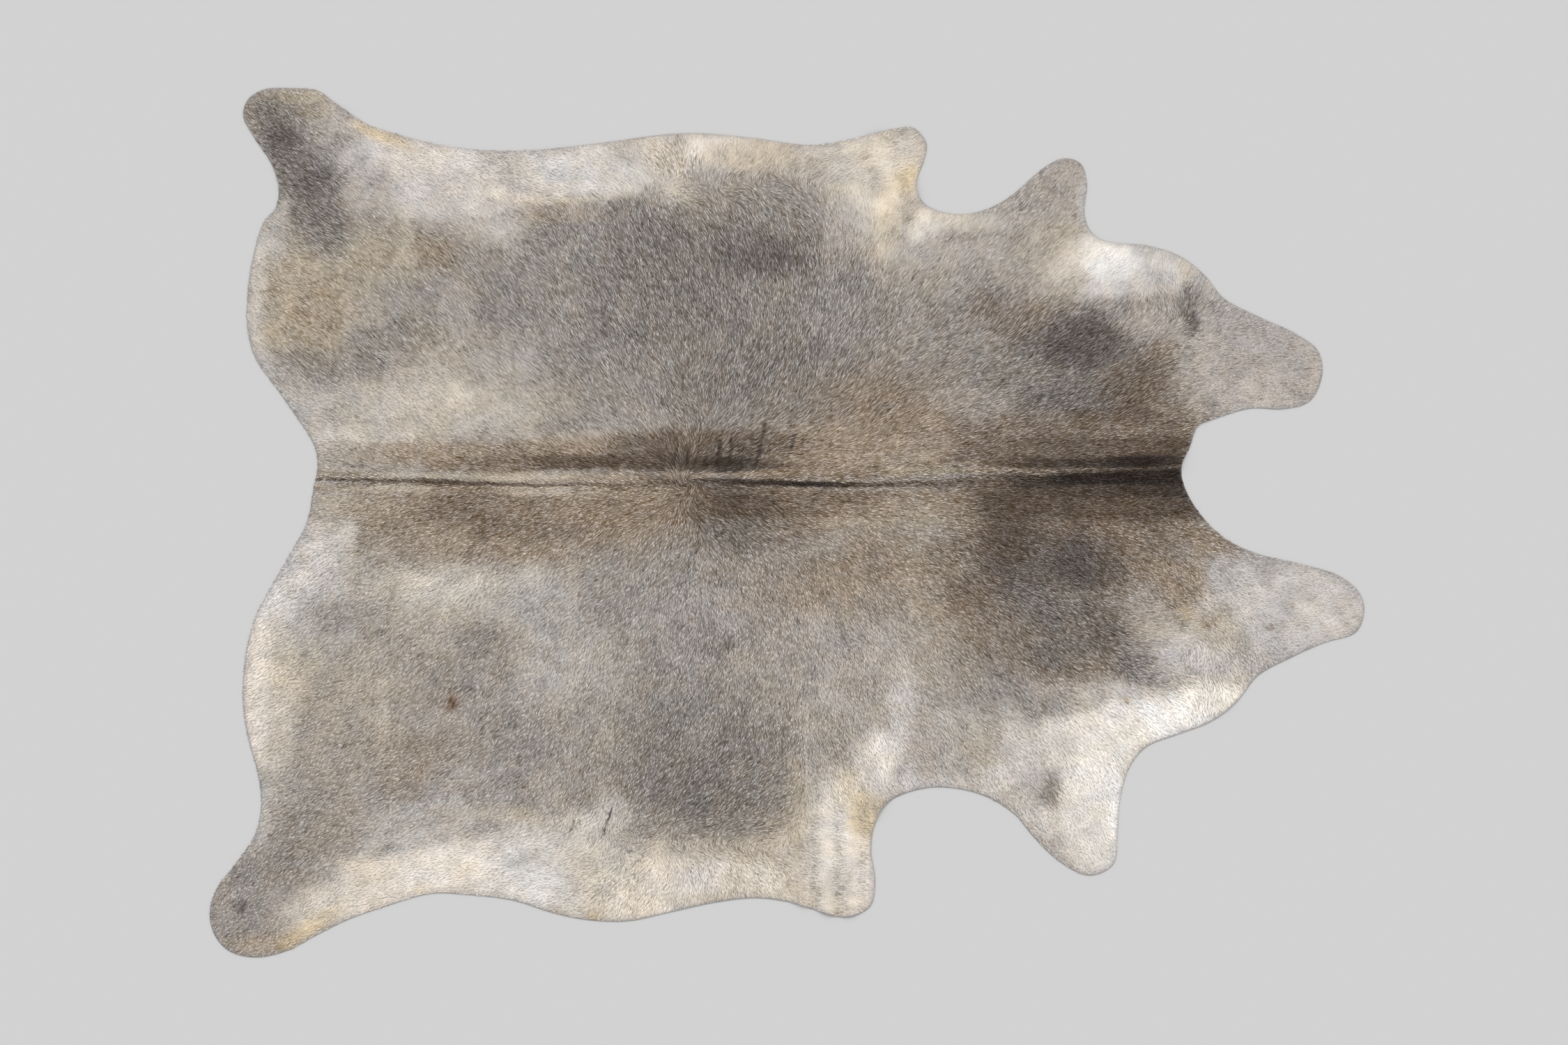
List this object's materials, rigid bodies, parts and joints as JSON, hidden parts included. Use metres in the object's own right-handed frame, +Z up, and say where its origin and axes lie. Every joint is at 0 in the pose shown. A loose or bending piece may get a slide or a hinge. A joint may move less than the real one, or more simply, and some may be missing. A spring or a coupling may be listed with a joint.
{
  "type": "cowhide rug",
  "caption": "Hair-on cowhide laid flat as a floor rug: one whole skin with shanks, elbow flaps and cheeks, creased along the back.",
  "frame": {"origin": "middle of the outline's box, on the floor under the hide", "axes": "+X along the back from the tail end to the neck, +Y to the hide's first side, +Z up out of the hair side"},
  "size_m": [2.318, 1.7468, 0.0119],
  "materials": {
    "skin": "tanned skin, suede underneath, with a pale cut edge",
    "coat": "short lying cow hair, taupe and grey with cream, white and charcoal patches, softly lustrous"
  },
  "bodies": {
    "root": {"hide": "skin"}
  },
  "joints": []
}
